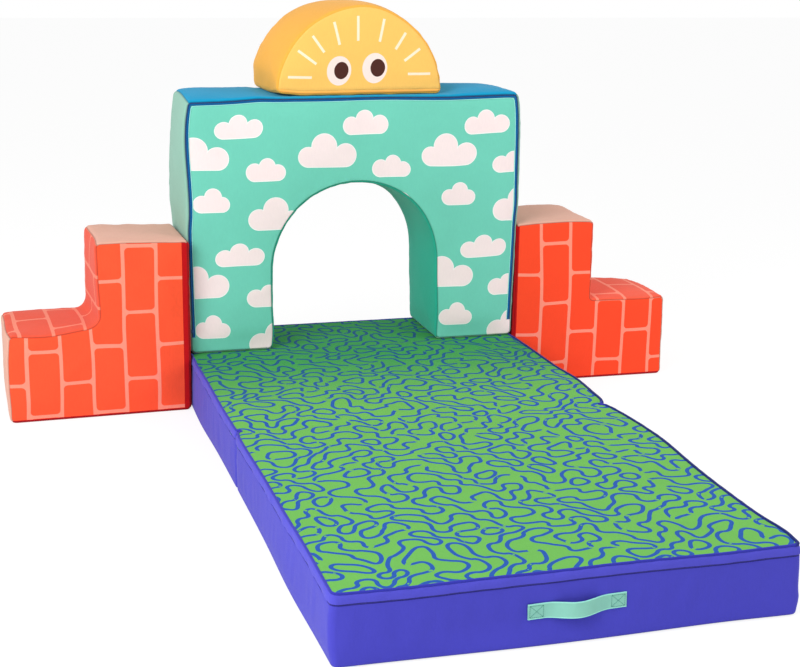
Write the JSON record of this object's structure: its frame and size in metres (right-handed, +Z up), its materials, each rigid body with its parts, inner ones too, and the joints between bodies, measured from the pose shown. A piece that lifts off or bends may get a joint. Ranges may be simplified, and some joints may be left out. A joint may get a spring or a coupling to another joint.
{
  "type": "foam play block set",
  "caption": "Foam play set: folding printed mat with a carry handle, crawl-through arch, stepped side blocks and a half-round block on top, each a zipped cloth cover over a foam core.",
  "frame": {"origin": "on the floor, at the middle of the base of the mat's rear panel", "axes": "+Z up, +Y from the mat's handle end towards the arch at the back, +X to the right as seen from the handle end"},
  "size_m": [1.5426, 1.5715, 0.8811],
  "materials": {
    "foam_core": "open-cell polyurethane foam",
    "mat_print_cloth": "short-pile velour, printed with a wandering line",
    "mat_side_cloth": "short-pile velour",
    "mat_base_cloth": "woven base cloth",
    "seam_piping": "narrow piping",
    "handle_webbing": "flat woven webbing",
    "cloud_print_cloth": "short-pile velour, printed with clouds",
    "tunnel_cloth": "short-pile velour",
    "arch_side_cloth": "short-pile velour",
    "arch_top_cloth": "short-pile velour",
    "brick_print_cloth": "short-pile velour, printed with bricks",
    "wall_cap_cloth": "short-pile velour",
    "wall_plain_cloth": "short-pile velour",
    "sun_print_cloth": "short-pile velour, printed with rays and round eyes",
    "sun_rim_cloth": "short-pile velour",
    "mat_zip_tape": "knitted zip tape with coil teeth",
    "arch_zip_tape": "knitted zip tape with coil teeth",
    "wall_zip_tape": "knitted zip tape with coil teeth",
    "sun_zip_tape": "knitted zip tape with coil teeth",
    "blue_slider": "enamelled",
    "red_slider": "enamelled",
    "yellow_slider": "enamelled"
  },
  "bodies": {
    "mat_rear": {"mat_rear_foam": "foam_core", "mat_rear_fold_side": "mat_side_cloth", "mat_rear_zip_flap": "mat_side_cloth", "mat_rear_sides": "mat_side_cloth", "mat_rear_base": "mat_base_cloth", "mat_rear_piping": "seam_piping", "mat_rear_top": "mat_print_cloth", "mat_rear_zip": "mat_zip_tape"},
    "mat_rear_slider": {"mat_rear_zip_slider": "blue_slider"},
    "mat_front": {"mat_front_foam": "foam_core", "mat_front_fold_side": "mat_side_cloth", "mat_front_zip_flap": "mat_side_cloth", "mat_front_sides": "mat_side_cloth", "mat_front_base": "mat_base_cloth", "mat_front_piping": "seam_piping", "mat_front_top": "mat_print_cloth", "mat_front_zip": "mat_zip_tape", "carry_handle": "handle_webbing"},
    "mat_front_slider": {"mat_front_zip_slider": "blue_slider"},
    "arch": {"arch_foam": "foam_core", "arch_zip": "arch_zip_tape", "arch_front": "cloud_print_cloth", "arch_back": "cloud_print_cloth", "arch_left_foot": "arch_side_cloth", "arch_tunnel_lining": "tunnel_cloth", "arch_right_foot": "arch_side_cloth", "arch_right_side": "arch_side_cloth", "arch_top": "arch_top_cloth", "arch_left_side": "arch_side_cloth"},
    "arch_slider": {"arch_zip_slider": "blue_slider"},
    "sun": {"sun_foam": "foam_core", "sun_zip": "sun_zip_tape", "sun_front": "sun_print_cloth", "sun_back": "sun_print_cloth", "sun_rim": "sun_rim_cloth", "sun_base": "sun_rim_cloth"},
    "sun_slider": {"sun_zip_slider": "yellow_slider"},
    "left_wall": {"left_wall_foam": "foam_core", "left_wall_zip": "wall_zip_tape", "left_wall_front": "brick_print_cloth", "left_wall_back": "brick_print_cloth", "left_wall_base": "wall_plain_cloth", "left_wall_end_cap": "wall_cap_cloth", "left_wall_step": "brick_print_cloth", "left_wall_top_cap": "wall_cap_cloth", "left_wall_inner_side": "wall_plain_cloth"},
    "left_wall_slider": {"left_wall_zip_slider": "red_slider"},
    "right_wall": {"right_wall_foam": "foam_core", "right_wall_zip": "wall_zip_tape", "right_wall_front": "brick_print_cloth", "right_wall_back": "brick_print_cloth", "right_wall_base": "wall_plain_cloth", "right_wall_end_cap": "wall_cap_cloth", "right_wall_step": "brick_print_cloth", "right_wall_top_cap": "wall_cap_cloth", "right_wall_inner_side": "wall_plain_cloth"},
    "right_wall_slider": {"right_wall_zip_slider": "red_slider"}
  },
  "joints": [
    {"name": "mat_fold", "type": "hinge", "parent": "mat_rear", "child": "mat_front", "pos_m": [0, -0.381, 0.12], "axis": [-1, 0, 0], "range_deg": [0, 130]},
    {"name": "arch_lift", "type": "slide", "parent": "mat_rear", "child": "arch", "axis": [0, 0, 1], "range_m": [0, 0.3]},
    {"name": "sun_lift", "type": "slide", "parent": "arch", "child": "sun", "axis": [0, 0, 1], "range_m": [0, 0.1]},
    {"name": "left_wall_slide", "type": "slide", "parent": "mat_rear", "child": "left_wall", "axis": [-1, 0, 0], "range_m": [0, 0.25]},
    {"name": "right_wall_slide", "type": "slide", "parent": "mat_rear", "child": "right_wall", "axis": [1, 0, 0], "range_m": [0, 0.25]},
    {"name": "mat_rear_zip_slide", "type": "slide", "parent": "mat_rear", "child": "mat_rear_slider", "axis": [0, 1, 0], "range_m": [0, 0.44]},
    {"name": "mat_front_zip_slide", "type": "slide", "parent": "mat_front", "child": "mat_front_slider", "axis": [0, -1, 0], "range_m": [0, 0.68]},
    {"name": "arch_zip_slide", "type": "slide", "parent": "arch", "child": "arch_slider", "axis": [0, 0, 1], "range_m": [0, 0.48]},
    {"name": "sun_zip_slide", "type": "slide", "parent": "sun", "child": "sun_slider", "axis": [0.9991, 0.0419, 0], "range_m": [0, 0.297]},
    {"name": "left_wall_zip_slide", "type": "slide", "parent": "left_wall", "child": "left_wall_slider", "axis": [1, 0, 0], "range_m": [0, 0.298]},
    {"name": "right_wall_zip_slide", "type": "slide", "parent": "right_wall", "child": "right_wall_slider", "axis": [1, 0, 0], "range_m": [0, 0.298]}
  ]
}
